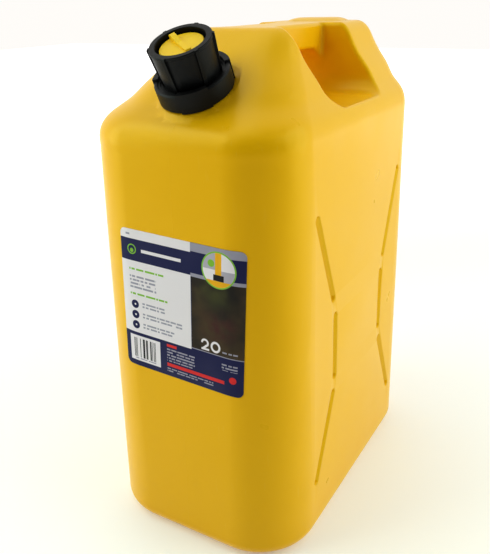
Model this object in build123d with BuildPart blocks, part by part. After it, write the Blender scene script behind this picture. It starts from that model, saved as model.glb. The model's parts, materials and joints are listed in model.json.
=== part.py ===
"""Twenty litre plastic jerry can with a screw-on pourer, modelled in millimetres.

+Z is up, the neck end faces -Y, and the origin is the centre of the base on the floor.
The closure stands on the neck's own tilted axis, with heights measured from the neck's seat.
"""
import os
from math import atan2, cos, degrees, radians, sin, tan

from build123d import *

# ---- can body -------------------------------------------------------------
base_width = 201
base_length = 317
corner_radius = 57
wall_draft = 1.0          # degrees that each wall leans inward
wall = 3.0
base_edge_radius = 13
column_top = 352          # the walls run straight up to here, then the roof closes over
# roof sections: height, half width, front y, back y, corner radius
roof_sections = [
    (357, 94.2, -152.2, 152.2, 50.6),
    (365, 94.0, -151.8, 152.2, 50),
    (374, 91.8, -147, 151.8, 48),
    (383, 85.5, -135, 151, 45),
    (397, 74, -113, 149.5, 40),
    (412, 63, -92, 147, 34),
    (427, 54, -72.5, 141.5, 28),
    (436, 49, -61, 136, 24),
    (440.5, 44, -53.5, 130.5, 21),
    (441.5, 39, -47.5, 125.5, 18),
]
# the pad that raises the block behind the grip: height, half width, front y, back y, corner radius
rear_pad_sections = [(436, 35, 75, 132, 16), (441.5, 29, 86, 127, 13), (444.5, 20, 98, 120, 9)]

# ---- handle ---------------------------------------------------------------
grip_half_width = 24
grip_underside = 419
pocket_floor = 380
pocket_front_y = -44
pocket_back_y = 64
pocket_corner = 18        # radius between the pocket's end walls and its floor
grip_root_radius = 26     # plan radius where the grip flares into the front block
grip_back_radius = 8
pocket_rim_radius = 4     # rounding of every edge that the pocket makes

# ---- side panel grooves, (y, z) of each stroke, mirrored front to back --------
groove_width = 9
groove_depth = 3.5
groove_taper = 30
groove_strokes = [((-95, 304), (-62, 226)), ((-57, 207), (-57, 148)), ((-60, 131), (-95, 57))]

# ---- label ----------------------------------------------------------------
label_width = 117
label_height = 125
label_centre_x = 3
label_turn = -2           # degrees that the label was applied askew
label_centre_z = 231
label_corner = 5
label_thickness = 0.4

# ---- neck, radii and heights along its axis -----------------------------------
neck_tilt = 27            # degrees forward of vertical
neck_centre_y = -111
neck_seat_z = 398.4
seat_radius = 30.8
seat_depth = 10
seat_boss_flare = 38      # degrees that the boss below the flat widens into the shoulder
seat_clearance = 18       # how far up the seat's flat is cut clear of the sloping shoulder
seat_cut_flare = 52
neck_bore = 21.0
neck_outer = 24.0
neck_rim = 9.4
neck_bore_depth = 25      # how far below the seat the bore is cut clear into the tank
thread_pitch = 4.0
thread_depth = 1.5
thread_height = 1.6       # axial thickness of the thread at its crest
thread_flank = 0.5        # how much thicker it is at its root
thread_turns = 1.3
thread_start = 2.0
thread_gap = 0.45
thread_bury = 0.8         # how far the thread's root lies inside the wall it stands on

# ---- pourer barrel, gasket and collar ------------------------------------------
gasket_thickness = 1.2
gasket_margin = 0.6       # the gasket ends this far inside the flange's edge
seat_gap = 0.1
flange_radius = 25.7
flange_bottom = neck_rim + seat_gap + gasket_thickness
flange_top = flange_bottom + 2.0
barrel_outer_low = 21.8
barrel_outer_high = 23.6
barrel_top = 42.4
barrel_bead = 0.6         # how far the rim's bead stands out
barrel_bead_height = 2.5
barrel_rim_chamfer = 0.5
barrel_bore = 18.4
barrel_cup = 19.4
barrel_lip_bottom = 31.0
barrel_lip_top = 35.0
barrel_lip_bore = 17.3
barrel_seal_height = 33.0
barrel_seal_groove = 19.4
sleeve_outer = 20.5
sleeve_bottom = -12
rib_count = 6
rib_width = 2.8
rib_radius_low = 23.2
rib_radius_high = 25.5
rib_root_radius = 21.0     # the ribs start inside the barrel's wall
rib_bury = 0.5            # the ribs start this far inside the flange
rib_tip = 0.8

collar_bottom = 0.8
collar_top = 15.3
collar_outer = 29.7
collar_bore = neck_outer + thread_depth + thread_gap
collar_lip = 25.0
collar_edge = 0.8         # chamfer round the foot
collar_chamfer = 1.2      # chamfer round the top
collar_rim_width = 2.6    # flat rim with its chamfer, outside the sunk channel
collar_channel_depth = 1.0
collar_channel_draft = 0.6
collar_flange_gap = 0.15
collar_block_count = 3
collar_block_angle = 46
collar_block_turn = -59   # middle of the first block, degrees from +X
collar_block_inner = collar_bore + 0.3
collar_block_outer = collar_outer + 0.9
collar_block_rise = 1.6    # how far the blocks stand above the ring
collar_thread_turn = 216  # degrees round from the start of the neck's thread

# ---- spout, breather and stopper -----------------------------------------------
spout_outer = 17.0
spout_bore = 15.0
spout_top = 37.0
spout_bottom = -76
spout_flange = 18.1
spout_flange_height = 5
spout_flange_lip = 1.2    # rib below the foot's seal groove
spout_groove_depth = 2.3
breather_outer = 3.0
breather_bore = 2.0
breather_top = 22
breather_bottom = -112
breather_offset = spout_bore - breather_outer + 0.2
stopper_radius = 17.2
stopper_bottom = 37.1
stopper_top = 39.2
plug_radius = 14.6
plug_bottom = 27
plug_chamfer = 0.8
plug_groove_depth = 2
stopper_edge = 0.6        # chamfer round the disc
stopper_seal_height = 32
fin_thickness = 4.4
fin_high = 4.0
fin_low = 1.0
fin_angle = 146           # degrees from +X, where the fin stands highest
seal_section = 1.1        # radius of each O-ring's round section
seal_gap = 0.1
spout_seal_height = spout_bottom + spout_flange_lip + seal_section + seal_gap

# ---- worked-out places ------------------------------------------------------
neck_axis = Vector(0, -sin(radians(neck_tilt)), cos(radians(neck_tilt)))
neck_plane = Plane(origin=(0, neck_centre_y, neck_seat_z), x_dir=(1, 0, 0), z_dir=neck_axis)
neck_section = Plane(origin=neck_plane.origin, x_dir=(1, 0, 0), z_dir=neck_plane.x_dir.cross(neck_axis))
turn_axis = Axis(neck_plane.origin, neck_axis)


def stacked_form(sections, inset):
    """A smooth solid through level rounded rectangles, every side moved inward by inset."""
    with BuildPart() as form:
        for height, half_width, front_y, back_y, radius in sections:
            with BuildSketch(Plane.XY.offset(height)):
                with Locations((0, (front_y + back_y) / 2)):
                    RectangleRounded(2 * (half_width - inset), back_y - front_y - 2 * inset, radius - inset)
        loft()
    return form.part


def can_form(inset):
    """The plain closed can, before handle and neck, with every face moved inward by inset."""
    lean = column_top * tan(radians(wall_draft))
    half_length = base_length / 2 - lean
    eave = (column_top, base_width / 2 - lean, -half_length, half_length, corner_radius - lean)
    # the top sections sink by the full inset, the eaves by less, so the wall stays even
    roof = [eave]
    for height, half_width, front_y, back_y, radius in roof_sections:
        sink = inset * min(1, (height - column_top) / 40)
        roof.append((height - sink, half_width, front_y, back_y, radius))
    with BuildPart() as form:
        with BuildSketch(Plane.XY.offset(inset)):
            RectangleRounded(base_width - 2 * inset, base_length - 2 * inset, corner_radius - inset)
        extrude(amount=column_top - inset, taper=wall_draft)
        fillet(form.edges().group_by(Axis.Z)[0], base_edge_radius - inset)
        add(stacked_form(roof, inset))
    return form.part


def pocket_form(grow):
    """The finger gap and the pockets beside the grip, with every face moved outward by grow."""
    length = pocket_back_y - pocket_front_y
    middle_y = (pocket_back_y + pocket_front_y) / 2
    middle_z = (pocket_floor + grip_underside) / 2
    with BuildPart() as pocket:
        with BuildSketch(Plane.YZ):
            with Locations((middle_y, middle_z)):
                RectangleRounded(
                    length + 2 * grow,
                    grip_underside - pocket_floor + 2 * grow,
                    pocket_corner + grow,
                )
        extrude(amount=base_width, both=True)
        # beside the grip the pocket is open to the top; its plan flares at the grip's front root
        with BuildSketch(Plane.XY.offset(middle_z)) as plan:
            for side in (-1, 1):
                with Locations((side * (grip_half_width - grow + base_width / 2), middle_y)):
                    Rectangle(base_width, length + 2 * grow)
            near_grip = plan.vertices().filter_by(lambda v: abs(v.X) < base_width / 2)
            fillet(near_grip.filter_by(lambda v: v.Y < middle_y), grip_root_radius + grow)
            fillet(near_grip.filter_by(lambda v: v.Y > middle_y), grip_back_radius + grow)
        extrude(amount=base_length)
    return pocket.part


def groove_form(grow):
    """The moulded strokes of both side panels, each a tapered slot pressed into the wall."""
    with BuildPart() as grooves:
        for side in (-1, 1):
            surface = Plane(
                origin=(side * base_width / 2, 0, 0),
                x_dir=(0, side, 0),
                z_dir=(side * cos(radians(wall_draft)), 0, sin(radians(wall_draft))),
            )
            for end_a, end_b in groove_strokes:
                for end in (-1, 1):
                    start = Vector(end * end_a[0], end_a[1])
                    run = Vector(end * end_b[0], end_b[1]) - start
                    middle = start + run * 0.5
                    with BuildSketch(surface.offset(grow)):
                        with Locations(Location(middle, (0, 0, degrees(atan2(run.Y, run.X))))):
                            SlotCenterToCenter(run.length, groove_width + 2 * grow)
                    extrude(amount=-groove_depth - 2 * grow, taper=groove_taper)
    return grooves.part


def thread_form(root_radius, depth, outward):
    """One start of helical thread about the neck axis; outward is 1 on the neck, -1 in the collar."""
    with BuildPart() as thread:
        with BuildLine() as path:
            Helix(thread_pitch, thread_pitch * thread_turns, root_radius)
        profile_plane = Plane(path.line @ 0, x_dir=(outward, 0, 0), z_dir=path.line % 0)
        with BuildSketch(profile_plane):
            with BuildLine():
                Polyline(
                    (-thread_bury, -thread_height / 2 - thread_flank),
                    (depth, -thread_height / 2),
                    (depth, thread_height / 2),
                    (-thread_bury, thread_height / 2 + thread_flank),
                    close=True,
                )
            make_face()
        sweep(path=path.line, is_frenet=True)
    return thread.part


def seal_ring(radius, height):
    """An O-ring about the neck axis."""
    with BuildPart() as ring:
        with BuildSketch(neck_section):
            with Locations((radius, height)):
                Circle(seal_section)
        revolve(axis=turn_axis)
    return ring.part


def revolved(*outline):
    """A solid of revolution about the neck axis from its (radius, height) outline."""
    with BuildPart() as turned:
        with BuildSketch(neck_section):
            with BuildLine():
                Polyline(*outline, close=True)
            make_face()
        revolve(axis=turn_axis)
    return turned.part


def seat_form(grow):
    """The dished flat cut into the shoulder for the collar, with every face moved outward by grow."""
    flare = radians(seat_cut_flare)
    with BuildPart() as seat:
        with BuildSketch(neck_plane.offset(-grow)):
            Circle(seat_radius + grow * (1 / cos(flare) - tan(flare)))
        extrude(amount=seat_clearance, taper=-seat_cut_flare)
    return seat.part


cavity = can_form(wall) - pocket_form(wall) - groove_form(wall) - seat_form(wall)
neck_thread = neck_plane.offset(thread_start) * thread_form(neck_outer, thread_depth, 1)
# the collar's thread lies half a pitch under the neck's, and starts further round
collar_thread_start = thread_start + thread_pitch * (collar_thread_turn / 360 - 0.5)
collar_thread = thread_form(collar_bore, thread_depth, -1).rotate(Axis.Z, collar_thread_turn)
collar_thread = neck_plane.offset(collar_thread_start) * collar_thread

# ---- can body: one blow-moulded hollow piece -------------------------------
with BuildPart() as can_body:
    add(can_form(0))
    add(stacked_form(rear_pad_sections, 0))
    plain_edges = can_body.edges()
    add(pocket_form(0), mode=Mode.SUBTRACT)
    fillet(can_body.edges().filter_by(lambda edge: edge not in plain_edges), pocket_rim_radius)
    add(groove_form(0), mode=Mode.SUBTRACT)
    with BuildSketch(neck_plane.offset(-seat_depth)):
        Circle(seat_radius + seat_depth * tan(radians(seat_boss_flare)))
    extrude(amount=seat_depth, taper=seat_boss_flare)
    add(seat_form(0), mode=Mode.SUBTRACT)
    with BuildSketch(neck_plane):
        Circle(neck_outer)
    extrude(amount=neck_rim)
    add(cavity, mode=Mode.SUBTRACT)
    with BuildSketch(neck_plane.offset(neck_rim)):
        Circle(neck_bore)
    extrude(amount=-neck_rim - neck_bore_depth, mode=Mode.SUBTRACT)
    add(neck_thread)
can_body.part.label = "can_body"

# ---- front label: a printed sheet bonded over the front face ------------------
with BuildPart() as front_label:
    add(can_form(-label_thickness))
    with BuildSketch(Plane.XZ):
        with Locations(Location((label_centre_x, label_centre_z), (0, 0, label_turn))):
            RectangleRounded(label_width, label_height, label_corner)
    extrude(amount=base_length, mode=Mode.INTERSECT)
    add(can_form(0), mode=Mode.SUBTRACT)
front_label.part.label = "front_label"

# ---- neck gasket: a flat ring that the barrel's flange presses on the rim ------
with BuildPart() as neck_gasket:
    with BuildSketch(neck_plane.offset(neck_rim + seat_gap)):
        Circle(flange_radius - gasket_margin)
        Circle(neck_bore, mode=Mode.SUBTRACT)
    extrude(amount=gasket_thickness)
neck_gasket.part.label = "neck_gasket"

# ---- pourer barrel: ribbed cup, flange and sleeve in one moulding --------------
with BuildPart() as pour_barrel:
    add(
        revolved(
            (barrel_bore, sleeve_bottom),
            (sleeve_outer, sleeve_bottom),
            (sleeve_outer, flange_bottom),
            (flange_radius, flange_bottom),
            (flange_radius, flange_top),
            (barrel_outer_low, flange_top),
            (barrel_outer_high, barrel_top - barrel_bead_height),
            (barrel_outer_high + barrel_bead, barrel_top - barrel_bead_height + barrel_bead),
            (barrel_outer_high + barrel_bead, barrel_top - barrel_rim_chamfer),
            (barrel_outer_high + barrel_bead - barrel_rim_chamfer, barrel_top),
            (barrel_cup + barrel_rim_chamfer, barrel_top),
            (barrel_cup, barrel_top - barrel_rim_chamfer),
            (barrel_cup, barrel_lip_top),
            (barrel_lip_bore, barrel_lip_top),
            (barrel_lip_bore, barrel_lip_bottom),
            (barrel_bore, barrel_lip_bottom),
        )
    )
    # ribs that widen towards the rim
    rib_bottom = flange_top - rib_bury
    for index in range(rib_count):
        rib_run = neck_plane.x_dir.rotate(Axis((0, 0, 0), neck_axis), index * 360 / rib_count - 90)
        rib_plane = Plane(origin=neck_plane.origin, x_dir=rib_run, z_dir=rib_run.cross(neck_axis))
        with BuildSketch(rib_plane):
            with BuildLine():
                Polyline(
                    (rib_root_radius, rib_bottom),
                    (rib_radius_low, rib_bottom),
                    (rib_radius_high, barrel_top - rib_tip),
                    (rib_radius_high - rib_tip, barrel_top),
                    (rib_root_radius, barrel_top),
                    close=True,
                )
            make_face()
        extrude(amount=rib_width / 2, both=True)
    # groove for the barrel seal, in the lip that guides the spout
    add(
        revolved(
            (barrel_lip_bore - 1, barrel_seal_height - seal_section),
            (barrel_seal_groove, barrel_seal_height - seal_section),
            (barrel_seal_groove, barrel_seal_height + seal_section),
            (barrel_lip_bore - 1, barrel_seal_height + seal_section),
        ),
        mode=Mode.SUBTRACT,
    )
pour_barrel.part.label = "pour_barrel"

# ---- barrel seal: O-ring that wipes the spout ---------------------------------
with BuildPart() as barrel_seal:
    add(seal_ring(spout_outer + seal_gap + seal_section, barrel_seal_height))
barrel_seal.part.label = "barrel_seal"

# ---- collar nut: threaded ring that clamps the barrel on the neck --------------
with BuildPart() as collar_nut:
    add(
        revolved(
            (collar_bore, collar_bottom),
            (collar_outer - collar_edge, collar_bottom),
            (collar_outer, collar_bottom + collar_edge),
            (collar_outer, collar_top - collar_chamfer),
            (collar_outer - collar_chamfer, collar_top),
            (collar_outer - collar_rim_width, collar_top),
            (collar_outer - collar_rim_width - collar_channel_draft, collar_top - collar_channel_depth),
            (collar_lip, collar_top - collar_channel_depth),
            (collar_lip, flange_top + collar_flange_gap),
            (collar_bore, flange_top + collar_flange_gap),
        )
    )
    add(collar_thread)
    # raised blocks that give fingers a hold
    for index in range(collar_block_count):
        first = collar_block_turn - collar_block_angle / 2 + index * 360 / collar_block_count
        with BuildSketch(neck_plane.offset(collar_bottom)):
            with BuildLine():
                CenterArc((0, 0), collar_block_outer, first, collar_block_angle)
                CenterArc((0, 0), collar_block_inner, first, collar_block_angle)
                for angle in (first, first + collar_block_angle):
                    start = Vector(collar_block_inner, 0).rotate(Axis.Z, angle)
                    finish = Vector(collar_block_outer, 0).rotate(Axis.Z, angle)
                    Line(start, finish)
            make_face()
        extrude(amount=collar_top - collar_bottom + collar_block_rise)
collar_nut.part.label = "collar_nut"

# ---- spout: the yellow pourer tube stowed down the neck -------------------------
with BuildPart() as spout_tube:
    add(
        revolved(
            (spout_bore, spout_bottom),
            (spout_flange, spout_bottom),
            (spout_flange, spout_bottom + spout_flange_lip),
            (spout_flange - spout_groove_depth, spout_bottom + spout_flange_lip),
            (spout_flange - spout_groove_depth, spout_seal_height + seal_section + seal_gap),
            (spout_flange, spout_seal_height + seal_section + seal_gap),
            (spout_flange, spout_bottom + spout_flange_height),
            (spout_outer, spout_bottom + spout_flange_height),
            (spout_outer, spout_top),
            (spout_bore, spout_top),
        )
    )
spout_tube.part.label = "spout_tube"

with BuildPart() as spout_seal:
    add(seal_ring(spout_flange - seal_section, spout_seal_height))
spout_seal.part.label = "spout_seal"

# ---- breather: thin air tube fixed along the inside of the spout ----------------
with BuildPart() as breather_tube:
    with BuildSketch(neck_plane.offset(breather_bottom)):
        with Locations((0, breather_offset)):
            Circle(breather_outer)
            Circle(breather_bore, mode=Mode.SUBTRACT)
    extrude(amount=breather_top - breather_bottom)
breather_tube.part.label = "breather_tube"

# ---- stopper: disc with a finger fin and a plug below it ------------------------
fin_run = neck_plane.x_dir.rotate(Axis((0, 0, 0), neck_axis), fin_angle)
fin_section = Plane(origin=neck_plane.origin, x_dir=fin_run, z_dir=fin_run.cross(neck_axis))
with BuildPart() as stopper:
    add(
        revolved(
            (0, plug_bottom),
            (plug_radius - plug_chamfer, plug_bottom),
            (plug_radius, plug_bottom + plug_chamfer),
            (plug_radius, stopper_seal_height - seal_section - seal_gap),
            (plug_radius - plug_groove_depth, stopper_seal_height - seal_section - seal_gap),
            (plug_radius - plug_groove_depth, stopper_seal_height + seal_section + seal_gap),
            (plug_radius, stopper_seal_height + seal_section + seal_gap),
            (plug_radius, stopper_bottom),
            (stopper_radius, stopper_bottom),
            (stopper_radius, stopper_top - stopper_edge),
            (stopper_radius - stopper_edge, stopper_top),
            (0, stopper_top),
        )
    )
    with BuildSketch(fin_section):
        with BuildLine():
            Polyline(
                (-14, stopper_top - 0.5),
                (16, stopper_top - 0.5),
                (16, stopper_top + fin_high - 1),
                (14.5, stopper_top + fin_high),
                (11, stopper_top + fin_high - 0.4),
                (2, stopper_top + fin_low + 0.4),
                (-12.5, stopper_top + fin_low),
                close=True,
            )
        make_face()
    extrude(amount=fin_thickness / 2, both=True)
stopper.part.label = "stopper"

with BuildPart() as stopper_seal:
    add(seal_ring(spout_bore - seal_gap - seal_section, stopper_seal_height))
stopper_seal.part.label = "stopper_seal"

pieces = [
    can_body,
    front_label,
    neck_gasket,
    pour_barrel,
    barrel_seal,
    collar_nut,
    spout_tube,
    spout_seal,
    breather_tube,
    stopper,
    stopper_seal,
]
os.makedirs("parts", exist_ok=True)
for piece in pieces:
    export_step(piece.part, f"parts/{piece.part.label}.step")
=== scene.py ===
"""The looks of a yellow twenty-litre plastic jerry can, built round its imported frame, in metres."""
import json
import math

import bpy
from mathutils import Matrix, Vector

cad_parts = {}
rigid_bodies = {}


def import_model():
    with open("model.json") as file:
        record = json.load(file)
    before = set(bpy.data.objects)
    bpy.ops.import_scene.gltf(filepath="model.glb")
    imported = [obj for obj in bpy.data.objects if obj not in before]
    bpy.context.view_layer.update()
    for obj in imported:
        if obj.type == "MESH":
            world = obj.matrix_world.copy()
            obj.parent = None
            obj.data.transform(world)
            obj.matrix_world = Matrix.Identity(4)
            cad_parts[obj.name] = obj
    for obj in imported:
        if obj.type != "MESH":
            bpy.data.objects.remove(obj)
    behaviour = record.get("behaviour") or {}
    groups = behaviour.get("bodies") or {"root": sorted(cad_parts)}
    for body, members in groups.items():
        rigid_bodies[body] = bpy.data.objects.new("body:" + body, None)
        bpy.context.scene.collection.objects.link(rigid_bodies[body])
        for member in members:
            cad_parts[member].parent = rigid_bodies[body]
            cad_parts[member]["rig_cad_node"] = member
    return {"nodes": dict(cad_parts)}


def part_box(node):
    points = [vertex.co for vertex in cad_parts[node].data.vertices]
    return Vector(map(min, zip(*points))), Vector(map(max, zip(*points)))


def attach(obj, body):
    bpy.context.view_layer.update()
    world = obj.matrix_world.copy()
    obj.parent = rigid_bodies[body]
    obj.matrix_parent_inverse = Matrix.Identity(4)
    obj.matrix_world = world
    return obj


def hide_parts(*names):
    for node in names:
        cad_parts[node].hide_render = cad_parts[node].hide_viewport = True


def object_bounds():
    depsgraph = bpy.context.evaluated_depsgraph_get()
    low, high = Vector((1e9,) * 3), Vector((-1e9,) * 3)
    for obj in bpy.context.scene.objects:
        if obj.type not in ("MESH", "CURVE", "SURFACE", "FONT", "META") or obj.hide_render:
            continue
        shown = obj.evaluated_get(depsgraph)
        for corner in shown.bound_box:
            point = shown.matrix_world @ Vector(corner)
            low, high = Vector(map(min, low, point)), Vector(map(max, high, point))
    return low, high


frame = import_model()
cad_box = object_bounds()
nodes = frame["nodes"]


# ---- camera -------------------------------------------------------------------
# A short telephoto view from in front and to the right of the can, a little above it,
# with the slight roll of a hand-held camera.
camera_azimuth = math.radians(30.68)
camera_elevation = math.radians(22.8)
camera_roll = math.radians(-1.32)
camera_distance = 0.6644
camera_shift_right = -0.0237
camera_aim_height = 0.2044
camera_lens = 42.8

toward_camera = Vector(
    (
        math.sin(camera_azimuth) * math.cos(camera_elevation),
        -math.cos(camera_azimuth) * math.cos(camera_elevation),
        math.sin(camera_elevation),
    )
)
level_right = Vector((math.cos(camera_azimuth), math.sin(camera_azimuth), 0))
level_up = toward_camera.cross(level_right)
camera_right = level_right * math.cos(camera_roll) + level_up * math.sin(camera_roll)
camera_up = level_up * math.cos(camera_roll) - level_right * math.sin(camera_roll)
camera_turn = Matrix((camera_right, camera_up, toward_camera)).transposed()
camera_place = level_right * camera_shift_right + toward_camera * camera_distance
camera_place.z += camera_aim_height

camera_data = bpy.data.cameras.new("studio_camera")
camera_data.lens = camera_lens
camera = bpy.data.objects.new("studio_camera", camera_data)
camera.matrix_world = Matrix.Translation(camera_place) @ camera_turn.to_4x4()
bpy.context.scene.collection.objects.link(camera)
bpy.context.scene.camera = camera
bpy.context.scene.view_settings.view_transform = "Standard"
bpy.context.scene.view_settings.gamma = 0.85


# ---- studio ---------------------------------------------------------------------
# A pale floor that glows like a lit backdrop away from the room's dark side, a white room, and
# soft boxes on the left, on the right and overhead.
floor_size = 12.0
floor_light = (0.80, 0.80, 0.80, 1)
floor_dull = (0.77, 0.77, 0.77, 1)
floor_roughness = 0.6
floor_grain = 0.00005
near_glow = (0.24, 0.24, 0.24, 1)
backdrop_glow = (0.95, 0.95, 0.95, 1)
backdrop_start = 0.5
backdrop_full = 1.6
dark_side_bearing = math.radians(30.68)
dark_side = Vector((math.sin(dark_side_bearing), -math.cos(dark_side_bearing), 0))
dark_side_strength = 0.08
bright_side_strength = 1.0
dimming_start = -0.6
dimming_end = 0.7
room_colour = (1.0, 0.98, 0.95, 1)
soft_box_colour = (0.85, 1.0, 0.88)


class Value:
    """A number flowing through one finish's nodes, so that its maths reads as arithmetic."""

    def __init__(self, finish, socket):
        self.finish = finish
        self.socket = socket

    def maths(self, operation, *terms):
        return self.finish.node("ShaderNodeMath", {"operation": operation}, dict(enumerate(terms)))

    def __add__(self, other):
        return self.maths("ADD", self, other)

    def __radd__(self, other):
        return self.maths("ADD", other, self)

    def __sub__(self, other):
        return self.maths("SUBTRACT", self, other)

    def __rsub__(self, other):
        return self.maths("SUBTRACT", other, self)

    def __mul__(self, other):
        return self.maths("MULTIPLY", self, other)

    def __rmul__(self, other):
        return self.maths("MULTIPLY", other, self)

    def __truediv__(self, other):
        return self.maths("DIVIDE", self, other)

    def __pow__(self, other):
        return self.maths("POWER", self, other)

    def __abs__(self):
        return self.maths("ABSOLUTE", self)

    def least(self, other):
        return self.maths("MINIMUM", self, other)

    def most(self, other):
        return self.maths("MAXIMUM", self, other)

    def fraction(self):
        return self.maths("FRACT", self)

    def floor(self):
        return self.maths("FLOOR", self)

    def rising(self, low, high):
        """0 below low, 1 above high, and a soft step between."""
        sockets = {"Value": self, "From Min": low, "From Max": high}
        return self.finish.node("ShaderNodeMapRange", {"interpolation_type": "SMOOTHSTEP"}, sockets)


class Finish:
    """One procedural finish: a Principled shader and the nodes that feed it."""

    def __init__(self, name, **uniform):
        self.material = bpy.data.materials.new(name)
        self.material.use_nodes = True
        self.tree = self.material.node_tree
        self.shader = self.tree.nodes["Principled BSDF"]
        for socket, number in uniform.items():
            self.shader.inputs[socket.replace("_", " ")].default_value = number
        self.place = self.node("ShaderNodeTexCoord", {}, {}, "Object")
        self.x = self.node("ShaderNodeSeparateXYZ", {}, {0: self.place}, "X")
        self.y = self.node("ShaderNodeSeparateXYZ", {}, {0: self.place}, "Y")
        self.z = self.node("ShaderNodeSeparateXYZ", {}, {0: self.place}, "Z")

    def feed(self, socket, value):
        if isinstance(value, Value):
            self.tree.links.new(value.socket, socket)
        else:
            socket.default_value = value

    def node(self, kind, settings, sockets, output=0):
        made = self.tree.nodes.new(kind)
        for name, setting in settings.items():
            setattr(made, name, setting)
        for key, value in sockets.items():
            self.feed(made.inputs[key], value)
        return Value(self, made.outputs[output])

    def noise(self, scale, detail=2.0, place=None):
        sockets = {"Vector": place or self.place, "Scale": scale, "Detail": detail}
        return self.node("ShaderNodeTexNoise", {}, sockets, "Fac")

    def stretched(self, factors):
        """The place with each axis multiplied by its own factor."""
        return self.node("ShaderNodeVectorMath", {"operation": "MULTIPLY"}, {0: self.place, 1: factors})

    def mixed(self, amount, first, second):
        """The colour first where amount is 0, and second where it is 1."""
        return self.node("ShaderNodeMix", {"data_type": "RGBA"}, {0: amount, 6: first, 7: second}, 2)

    def paint(self, colour, roughness, height, relief):
        """Joins what varies to the shader; relief is the height, in metres, that height 1 stands for."""
        self.feed(self.shader.inputs["Base Color"], colour)
        self.feed(self.shader.inputs["Roughness"], roughness)
        bump = self.node("ShaderNodeBump", {}, {"Distance": relief, "Height": height}, "Normal")
        self.feed(self.shader.inputs["Normal"], bump)

    def coat(self, piece):
        """Gives the finish to every slot of a piece."""
        if not piece.material_slots:
            piece.data.materials.append(None)
        for slot in piece.material_slots:
            slot.material = self.material


bpy.ops.object.select_all(action="DESELECT")
bpy.ops.mesh.primitive_plane_add(size=floor_size, location=(0, 0, 0))
studio_floor = bpy.context.active_object
studio_floor.name = "studio_floor"
floor_finish = Finish("pale_floor", Emission_Strength=1.0)
floor_tone = floor_finish.noise(3.0)
floor_colour = floor_finish.mixed(floor_tone, floor_light, floor_dull)
backdrop = floor_finish.x * -dark_side.x + floor_finish.y * -dark_side.y
backdrop = backdrop.rising(backdrop_start, backdrop_full)
floor_glow = floor_finish.mixed(backdrop, near_glow, backdrop_glow)
floor_finish.feed(floor_finish.shader.inputs["Emission Color"], floor_glow)
floor_finish.paint(floor_colour, floor_roughness, floor_finish.noise(200.0), floor_grain)
floor_finish.coat(studio_floor)

room = bpy.data.worlds.new("studio_room")
room.use_nodes = True
room_tree = room.node_tree
room_direction = room_tree.nodes.new("ShaderNodeTexCoord")
room_facing = room_tree.nodes.new("ShaderNodeVectorMath")
room_facing.operation = "DOT_PRODUCT"
room_facing.inputs[1].default_value = dark_side
room_level = room_tree.nodes.new("ShaderNodeMapRange")
room_level.interpolation_type = "SMOOTHSTEP"
room_level.inputs["From Min"].default_value = dimming_start
room_level.inputs["From Max"].default_value = dimming_end
room_level.inputs["To Min"].default_value = bright_side_strength
room_level.inputs["To Max"].default_value = dark_side_strength
room_tree.links.new(room_direction.outputs["Generated"], room_facing.inputs[0])
room_tree.links.new(room_facing.outputs["Value"], room_level.inputs["Value"])
room_tree.links.new(room_level.outputs[0], room_tree.nodes["Background"].inputs["Strength"])
room_tree.nodes["Background"].inputs["Color"].default_value = room_colour
bpy.context.scene.world = room


def soft_box(name, azimuth, elevation, distance, width, height, power):
    """An area light that looks at the middle of the can, from a bearing and a height in degrees."""
    bearing = math.radians(azimuth)
    rise = math.radians(elevation)
    direction = Vector(
        (math.sin(bearing) * math.cos(rise), -math.cos(bearing) * math.cos(rise), math.sin(rise))
    )
    light_data = bpy.data.lights.new(name, "AREA")
    light_data.shape = "RECTANGLE"
    light_data.size = width
    light_data.size_y = height
    light_data.energy = power
    light_data.color = soft_box_colour
    light = bpy.data.objects.new(name, light_data)
    middle = Vector((0, 0, (cad_box[0][2] + cad_box[1][2]) / 2))
    light.location = middle + direction * distance
    light.rotation_euler = direction.to_track_quat("Z", "Y").to_euler()
    bpy.context.scene.collection.objects.link(light)


soft_box("left_box", azimuth=-52, elevation=27, distance=1.3, width=0.9, height=1.5, power=10.5)
soft_box("right_box", azimuth=106, elevation=26, distance=1.3, width=1.0, height=1.6, power=11.8)
soft_box("top_box", azimuth=-60, elevation=70, distance=1.4, width=1.0, height=1.0, power=3.5)


# ---- can body -------------------------------------------------------------------
# One blow-moulded piece of yellow polyethylene. Its skin is satin, with the faint waves of a
# blow moulding, a parting line down the middle, and scuffs where it stands and is carried.
merge_distance = 0.000002
smooth_below = math.radians(32)
parting_width = 0.0007
parting_share = 0.06
scuff_height = 0.03
wave_scale = 14.0
wave_share = 0.9
peel_scale = 700.0
peel_share = 0.03
skin_relief = 0.0009
yellow_deep = (0.84, 0.46, 0.002, 1)
yellow_light = (0.88, 0.50, 0.004, 1)
yellow_scuffed = (0.93, 0.70, 0.16, 1)
yellow_gloss = (1.0, 0.80, 0.20, 1)


def pick_only(piece):
    """Selects one piece and nothing else."""
    bpy.ops.object.select_all(action="DESELECT")
    piece.select_set(True)
    bpy.context.view_layer.objects.active = piece


pick_only(nodes["can_body"])
bpy.ops.object.duplicate()
moulded_can = bpy.context.active_object
moulded_can.name = "moulded_can"
moulded_can.parent = None
del moulded_can["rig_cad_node"]
pick_only(moulded_can)
bpy.ops.object.mode_set(mode="EDIT")
bpy.ops.mesh.select_all(action="SELECT")
bpy.ops.mesh.remove_doubles(threshold=merge_distance)
bpy.ops.object.mode_set(mode="OBJECT")
bpy.ops.object.shade_smooth_by_angle(angle=smooth_below)
weighting = moulded_can.modifiers.new("weighting", "WEIGHTED_NORMAL")
weighting.keep_sharp = True
bpy.ops.object.modifier_apply(modifier=weighting.name)

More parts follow.
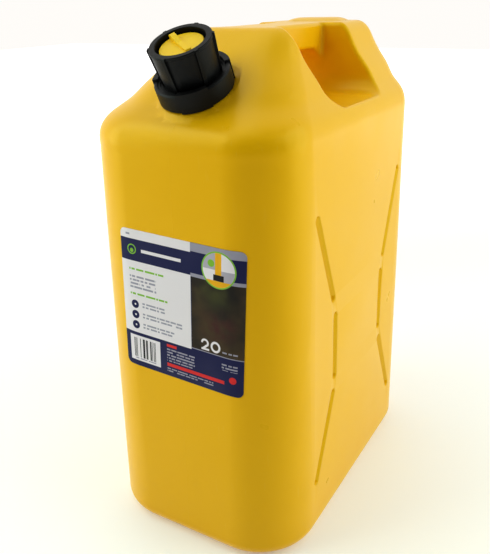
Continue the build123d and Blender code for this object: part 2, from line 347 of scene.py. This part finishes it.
yellow = Finish("yellow_polyethylene", IOR=1.51, Specular_Tint=yellow_gloss)
tint = yellow.noise(6.0)
yellow_colour = yellow.mixed(tint, yellow_deep, yellow_light)
scratches = yellow.noise(60.0, 4.0, yellow.stretched((6.0, 6.0, 0.7))).rising(0.62, 0.72)
foot = 1 - yellow.z.rising(0.0, scuff_height)
scuffs = scratches * yellow.noise(9.0).rising(0.5, 0.7) * (0.12 + 0.5 * foot)
yellow_colour = yellow.mixed(scuffs, yellow_colour, yellow_scuffed)
yellow_roughness = 0.25 + 0.09 * yellow.noise(40.0) + 0.25 * scuffs
ridge = 1 - abs(yellow.x).rising(0.0, parting_width)
waves = yellow.noise(wave_scale, 1.0)
peel = yellow.noise(peel_scale, 2.0)
yellow_height = wave_share * waves + peel_share * peel + parting_share * ridge
yellow.paint(yellow_colour, yellow_roughness, yellow_height, skin_relief)
yellow.coat(moulded_can)
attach(moulded_can, "can")
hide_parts("can_body")


# ---- front label ------------------------------------------------------------------
# A printed film bonded over the front face: a navy head band with a round pouring mark, a white
# panel of fine print, a dark picture panel and a navy foot band with a bar code. Its print is
# laid out in millimetres, and every number in a shape below is a place or a size on it.
label_turn = math.radians(-2)
label_width = 117.0
label_height = 125.0
film_white = (0.83, 0.77, 0.81, 1)
film_navy = (0.010, 0.012, 0.080, 1)
film_grey = (0.36, 0.34, 0.42, 1)
film_green = (0.25, 0.52, 0.05, 1)
film_red = (0.72, 0.03, 0.03, 1)
film_yellow = (0.85, 0.45, 0.01, 1)
film_black = (0.01, 0.01, 0.012, 1)
dusk_dark = (0.016, 0.012, 0.009, 1)
dusk_brown = (0.075, 0.045, 0.018, 1)
dusk_olive = (0.085, 0.085, 0.02, 1)
dusk_red = (0.07, 0.012, 0.014, 1)
edge_softness = 0.15
film_grain_share = 0.02
column_edge = 69
print_right = 118
head_foot = 27
foot_top = 92.5
text_left = 8
bullet_across = 12.4
bullet_pitch = 9.6
bullet_text_left = 20
picture_foot = 90.6
numeral_down = 82.9
two_across = 82.1
zero_across = 92.1
zero_down = 84.3
foot_text_left = 44
mark_across = 94.5
mark_down = 17.8
millimetres = 1000

film = Finish("printed_film", IOR=1.5, Specular_IOR_Level=0.2)
label_low, label_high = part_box("front_label")
label_x = millimetres * (film.x - (label_low.x + label_high.x) / 2)
label_z = millimetres * (film.z - (label_low.z + label_high.z) / 2)
# millimetres from the print's left edge and down from its top
across = label_x * math.cos(label_turn) + label_z * math.sin(label_turn) + label_width / 2
down = label_height / 2 - (label_z * math.cos(label_turn) - label_x * math.sin(label_turn))


def inside(depth):
    """1 where depth, in millimetres inside a printed shape's edge, is above 0."""
    return depth.rising(-edge_softness, edge_softness)


def panel(left, right, top, bottom):
    sideways = (across - left).least(right - across)
    return inside(sideways.least((down - top).least(bottom - down)))


def disc(centre_across, centre_down, radius):
    reach = ((across - centre_across) ** 2.0 + (down - centre_down) ** 2.0) ** 0.5
    return inside(radius - reach)


def print_lines(left, right, top, bottom, pitch):
    """Rows of fine print, as rules broken into words."""
    row = ((down - top) / pitch).floor()
    rows = 1 - ((down - top) / pitch).fraction().rising(0.45, 0.6)
    word_place = film.node("ShaderNodeCombineXYZ", {}, {0: across * 0.45, 1: row * 7.3})
    words = film.noise(1.0, 0.0, word_place).rising(0.38, 0.44)
    return panel(left, right, top, bottom) * rows * words


printed = []
printed.append((panel(-1, column_edge, -1, 8), film_white))
printed.append((panel(column_edge, print_right, -1, 7), film_grey))
printed.append((panel(6.0, 10.0, 3.4, 5.0), film_grey))
# head band: a plain drop mark and a plain stripe
printed.append((disc(11.5, 17.0, 4.4), film_green))
printed.append((disc(11.5, 17.0, 3.4), film_navy))
printed.append((disc(11.5, 18.0, 1.8), film_green))
printed.append((panel(21, 60, 15.8, 18.6), film_white))
# white panel
printed.append((panel(-1, column_edge, head_foot, foot_top), film_white))
printed.append((print_lines(text_left, 43, 33.4, 36.6, 3.2), film_green))
printed.append((print_lines(text_left, 35, 40, 52, 3.2), film_grey))
printed.append((print_lines(text_left, 46, 55.6, 58.8, 3.2), film_green))
for bullet, line_end in enumerate((43, 60, 52)):
    bullet_down = 66 + bullet * bullet_pitch
    printed.append((disc(bullet_across, bullet_down, 3.8), film_navy))
    printed.append((disc(bullet_across + 0.2, bullet_down, 0.9), film_white))
    bullet_text = print_lines(bullet_text_left, line_end, bullet_down - 2.6, bullet_down + 3.2, 2.9)
    printed.append((bullet_text, film_grey))
# picture panel: an out-of-focus dusk field
printed.append((panel(column_edge, print_right, 25, 28), film_grey))
dusk = film.noise(28.0, 3.0)
dusk_colour = film.mixed(dusk.rising(0.3, 0.7), dusk_dark, dusk_brown)
olive = (1 - down.rising(30, 58)) * film.noise(40.0).rising(0.35, 0.7)
dusk_colour = film.mixed(olive, dusk_colour, dusk_olive)
haze_reach = (((across - 95) / 24) ** 2.0 + ((down - 66) / 20) ** 2.0) ** 0.5
haze = (1 - haze_reach.rising(0.1, 1.0)) * film.noise(90.0).rising(0.3, 0.7)
dusk_colour = film.mixed(haze * 0.8, dusk_colour, dusk_red)
printed.append((panel(column_edge + 0.6, print_right, 28, picture_foot), dusk_colour))
printed.append((panel(column_edge, print_right, picture_foot, picture_foot + 0.8), film_grey))
# the capacity: 2 from an arc, a stroke and a foot, and 0 from a ring
upper_arc = disc(two_across, numeral_down, 3.7) - disc(two_across, numeral_down, 1.9)
lower_left = (down - numeral_down).rising(0.0, 0.6) * (two_across + 0.3 - across).rising(0.0, 0.6)
two_bow = upper_arc * (1 - lower_left)
two_slope = abs((across - two_across) * 0.67 + (down - 86.6) * 0.74)
two_stroke = inside(0.95 - two_slope) * panel(79.1, 85.5, 84.6, 89.0)
two_foot = panel(78.7, 86.1, 87.6, 89.4)
zero_reach = (((across - zero_across) / 4.6) ** 2.0 + ((down - zero_down) / 5.1) ** 2.0) ** 0.5
zero = zero_reach.rising(0.56, 0.62) * (1 - zero_reach.rising(0.97, 1.03))
printed.append((two_bow.most(two_stroke).most(two_foot), film_white))
printed.append((zero, film_white))
printed.append((print_lines(98.5, 112, 86.2, 89.0, 2.8), film_grey))
# foot band
printed.append((panel(5, 37, 95.5, 120), film_white))
bar_number = (across * 1.6).floor()
bars = film.node("ShaderNodeTexWhiteNoise", {"noise_dimensions": "1D"}, {"W": bar_number}, "Value")
printed.append((panel(9, 33.5, 98, 116.5) * bars.rising(0.45, 0.55), film_black))
printed.append((print_lines(10, 32, 117.3, 119.2, 1.9), film_grey))
printed.append((panel(foot_text_left, 54, 94.8, 97.4), film_red))
printed.append((print_lines(foot_text_left, 72, 99, 111, 2.7), film_grey))
printed.append((panel(foot_text_left, 100.5, 112.6, 115.8), film_red))
printed.append((print_lines(foot_text_left, 90, 117.4, 121.7, 2.2), film_grey))
printed.append((print_lines(98, 112, 97, 103, 2.7), film_grey))
printed.append((disc(108, 110.5, 3.2), film_red))
# round pouring mark: grey quarters, and a yellow spout in a black collar on a yellow can
mark_face = disc(mark_across, mark_down, 14.0)
printed.append((disc(mark_across, mark_down, 15.2), film_green))
printed.append((mark_face, film_white))
quarters = ((across - mark_across) * (down - mark_down)).rising(-0.5, 0.5)
printed.append((mark_face * quarters * 0.75, film_grey))
printed.append((disc(88.0, 13.0, 3.0), film_green))
printed.append((mark_face * panel(79, 110, 26.6, 33), film_yellow))
printed.append((mark_face * panel(91.6, 97.2, 3, 24), film_yellow))
printed.append((panel(90.0, 99.4, 21.6, 26.6), film_black))
print_colour = film_navy
for mask, ink in printed:
    print_colour = film.mixed(mask, print_colour, ink)
fade = film.noise(11.0).rising(0.4, 0.8)
print_colour = film.mixed(0.05 * fade, print_colour, film_white)
film_roughness = 0.32 + 0.12 * film.noise(50.0)
# the film follows the can's waves
film_height = wave_share * film.noise(wave_scale, 1.0) + film_grain_share * film.noise(900.0)
film.paint(print_colour, film_roughness, film_height, skin_relief)
film.coat(nodes["front_label"])


# ---- collar and barrel --------------------------------------------------------------
# The two black parts of the closure, injection moulded in a tough semi-gloss plastic with a
# fine spark-eroded grain, greyed a little by handling on their edges.
black_clean = (0.003, 0.003, 0.0035, 1)
black_handled = (0.010, 0.010, 0.011, 1)
spark_grain = 0.00008

black = Finish("black_moulded_plastic", IOR=1.5, Specular_IOR_Level=0.22)
handled = black.noise(90.0, 4.0).rising(0.52, 0.75)
black_colour = black.mixed(handled * 0.5, black_clean, black_handled)
black_roughness = 0.34 + 0.16 * black.noise(120.0) + 0.08 * handled
black.paint(black_colour, black_roughness, black.noise(1800.0, 3.0), spark_grain)
black.coat(nodes["collar_nut"])
black.coat(nodes["pour_barrel"])


# ---- stopper and spout ----------------------------------------------------------------
# Yellow injection mouldings, brighter and smoother than the can. The spout is stowed down the
# neck, and the stopper's disc closes it.
bright_deep = (0.90, 0.56, 0.006, 1)
bright_light = (0.93, 0.62, 0.010, 1)
bright_dusty = (0.60, 0.42, 0.10, 1)
bright_grain = 0.00006

bright = Finish("bright_yellow_plastic", IOR=1.5, Specular_Tint=yellow_gloss)
bright_tint = bright.noise(60.0)
bright_colour = bright.mixed(bright_tint, bright_deep, bright_light)
dust = bright.noise(220.0, 3.0).rising(0.62, 0.8)
bright_colour = bright.mixed(dust * 0.2, bright_colour, bright_dusty)
bright_roughness = 0.30 + 0.12 * bright.noise(150.0)
bright.paint(bright_colour, bright_roughness, bright.noise(1200.0), bright_grain)
bright.coat(nodes["stopper"])
bright.coat(nodes["spout_tube"])


# ---- seals ------------------------------------------------------------------------------
# Black nitrile O-rings and the flat gasket on the neck's rim, moulded rubber with a dull skin.
rubber_clean = (0.014, 0.014, 0.014, 1)
rubber_bloom = (0.040, 0.040, 0.042, 1)
rubber_grain = 0.00008

rubber = Finish("nitrile_rubber", IOR=1.5)
bloom = rubber.noise(140.0, 3.0).rising(0.5, 0.8)
rubber_colour = rubber.mixed(bloom, rubber_clean, rubber_bloom)
rubber.paint(rubber_colour, 0.62 + 0.15 * bloom, rubber.noise(1500.0, 2.0), rubber_grain)
for seal in ("neck_gasket", "barrel_seal", "spout_seal", "stopper_seal"):
    rubber.coat(nodes[seal])


# ---- breather tube ------------------------------------------------------------------------
# A thin extruded tube of unpigmented polyethylene, milky and slightly drawn along its length.
milky_thin = (0.74, 0.74, 0.70, 1)
milky_thick = (0.84, 0.84, 0.81, 1)
drawing_relief = 0.00005

milky = Finish("natural_polyethylene", IOR=1.51, Transmission_Weight=0.25)
drawn = milky.noise(300.0, 2.0, milky.stretched((1.0, 1.0, 0.05)))
milky_colour = milky.mixed(drawn, milky_thin, milky_thick)
milky.paint(milky_colour, 0.35 + 0.15 * drawn, drawn, drawing_relief)
milky.coat(nodes["breather_tube"])
